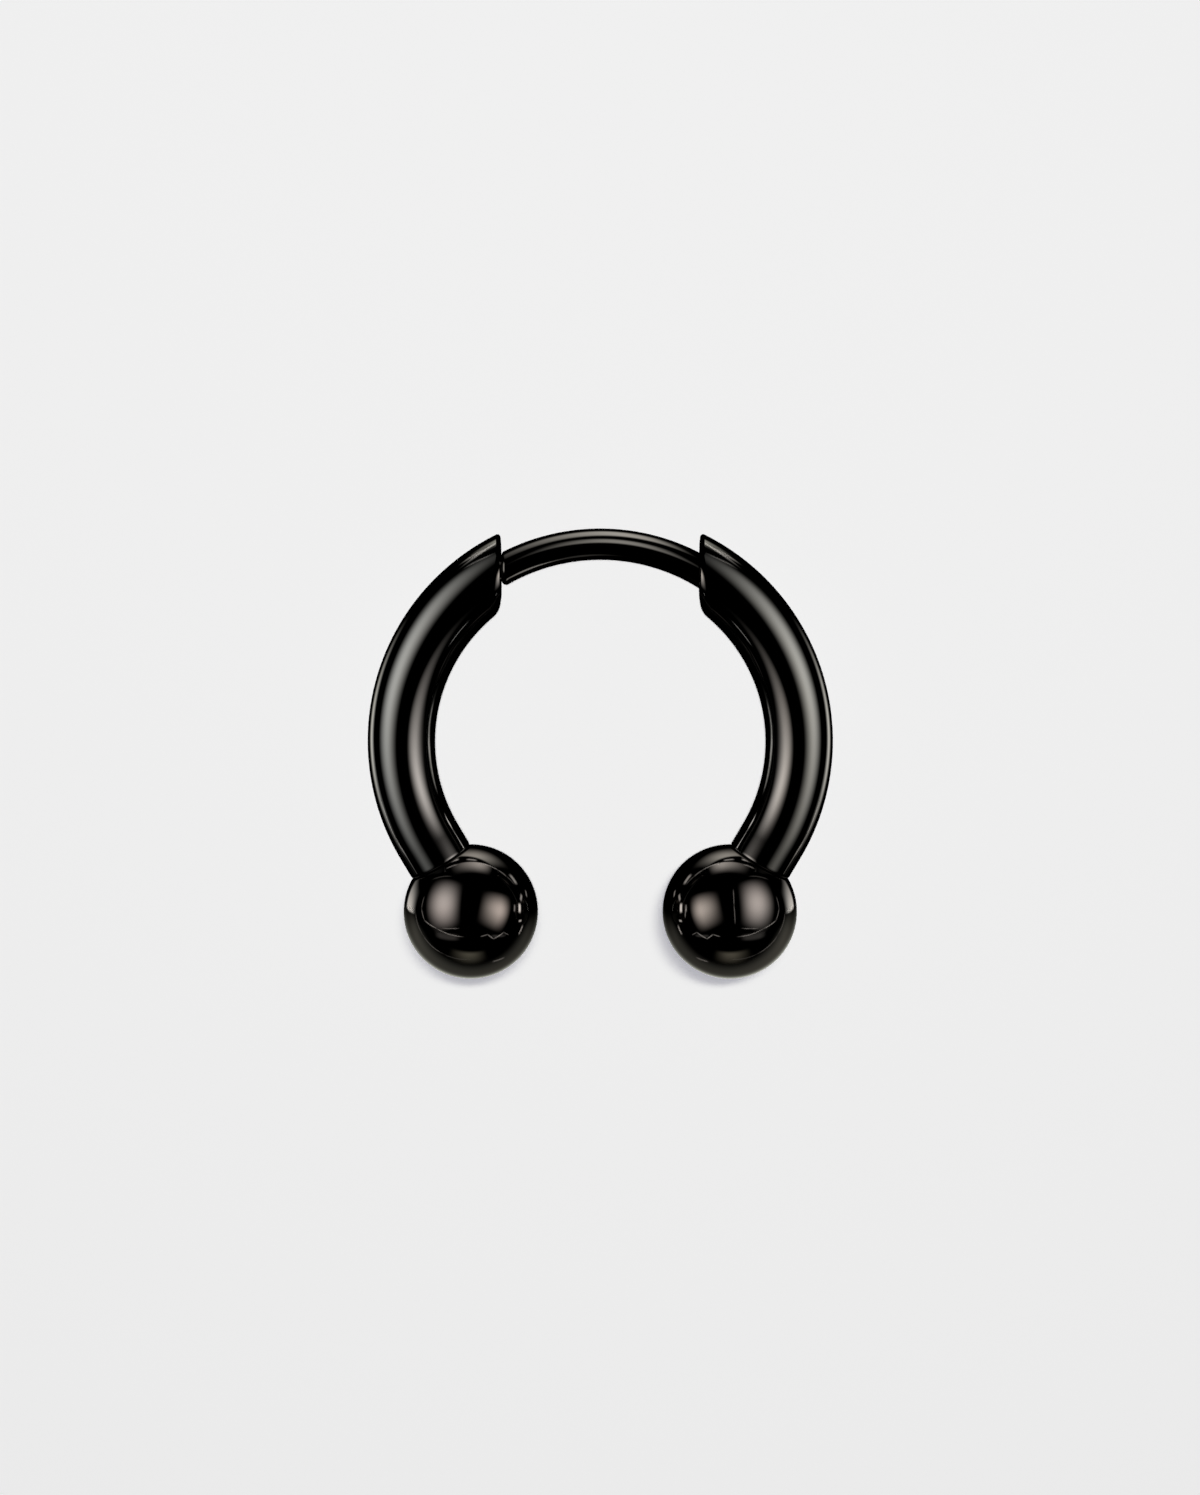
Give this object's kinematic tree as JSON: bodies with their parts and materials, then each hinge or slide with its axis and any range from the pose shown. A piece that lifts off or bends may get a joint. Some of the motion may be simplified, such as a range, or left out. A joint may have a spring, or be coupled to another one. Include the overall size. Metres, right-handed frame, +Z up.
{
  "type": "horseshoe barbell",
  "caption": "Open horseshoe ring for a piercing: thick curved arms that end in balls, joined over the top by a thin curved post that one arm pulls off.",
  "frame": {"origin": "on the surface it lies on, under the middle of its box", "axes": "+Z up; +Y from the balls towards the post; +X from the left arm, which pulls off, to the right arm"},
  "size_m": [0.0176, 0.017, 0.0051],
  "materials": {
    "arms": "steel with a black vapour coating, mirror polished",
    "balls": "steel with a black vapour coating, mirror polished",
    "post": "steel with a black vapour coating, mirror polished"
  },
  "bodies": {
    "right_side": {"post": "post", "right_arm": "arms", "right_ball": "balls"},
    "left_side": {"left_arm": "arms", "left_ball": "balls"}
  },
  "joints": [
    {"name": "left_arm_pull", "type": "slide", "parent": "right_side", "child": "left_side", "axis": [-0.8676, -0.4949, 0.049], "range_m": [0, 0.003]}
  ]
}
